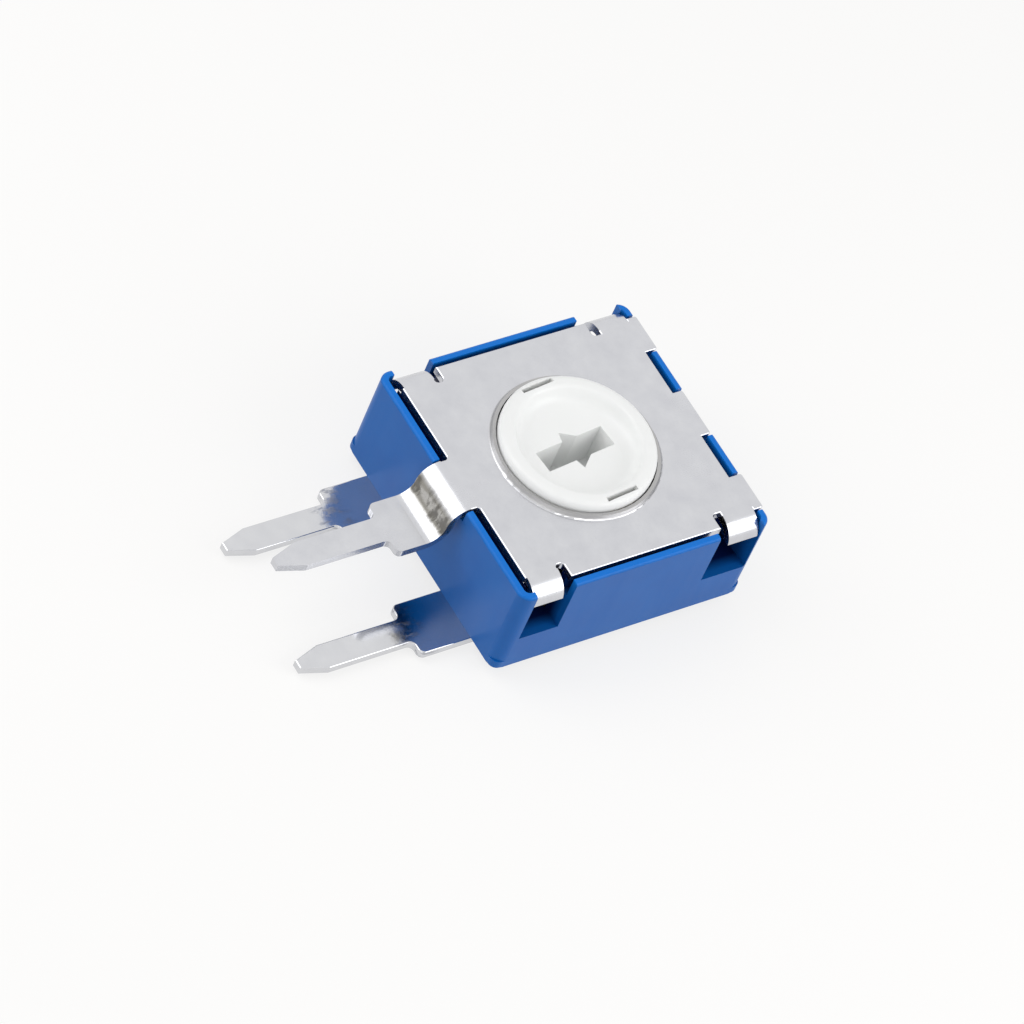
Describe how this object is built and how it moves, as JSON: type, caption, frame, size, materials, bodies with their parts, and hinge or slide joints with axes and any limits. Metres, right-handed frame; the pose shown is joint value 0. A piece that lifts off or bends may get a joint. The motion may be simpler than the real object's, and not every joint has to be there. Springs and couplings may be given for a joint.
{
  "type": "trimmer potentiometer",
  "caption": "Square plastic trimmer potentiometer with a metal cover plate, a slotted rotor in the middle and flat pins out of one side.",
  "frame": {"origin": "on the rotor's axis, in the plane that the part lies on", "axes": "+Z along the rotor's axis towards the cover plate, -Y along the pins"},
  "size_m": [0.01, 0.0168, 0.0049],
  "materials": {
    "housing_plastic": "moulded, satin gloss",
    "tinned_sheet": "dull tin plate",
    "rotor_plastic": "moulded, satin",
    "spring_bronze": "rolled spring bronze",
    "phenolic_board": "phenolic paper with printed carbon",
    "eyelet_brass": "tinned brass"
  },
  "bodies": {
    "stator": {"housing": "housing_plastic", "cover_plate": "tinned_sheet", "resistive_element": "phenolic_board", "end_terminal_left": "tinned_sheet", "end_terminal_right": "tinned_sheet", "left_rivet": "eyelet_brass", "right_rivet": "eyelet_brass"},
    "rotor_assembly": {"rotor": "rotor_plastic", "wiper_spring": "spring_bronze"}
  },
  "joints": [
    {"name": "rotor_turn", "type": "hinge", "parent": "stator", "child": "rotor_assembly", "pos_m": [0, 0, 0], "axis": [0, 0, 1], "range_deg": [-123, 112]}
  ]
}
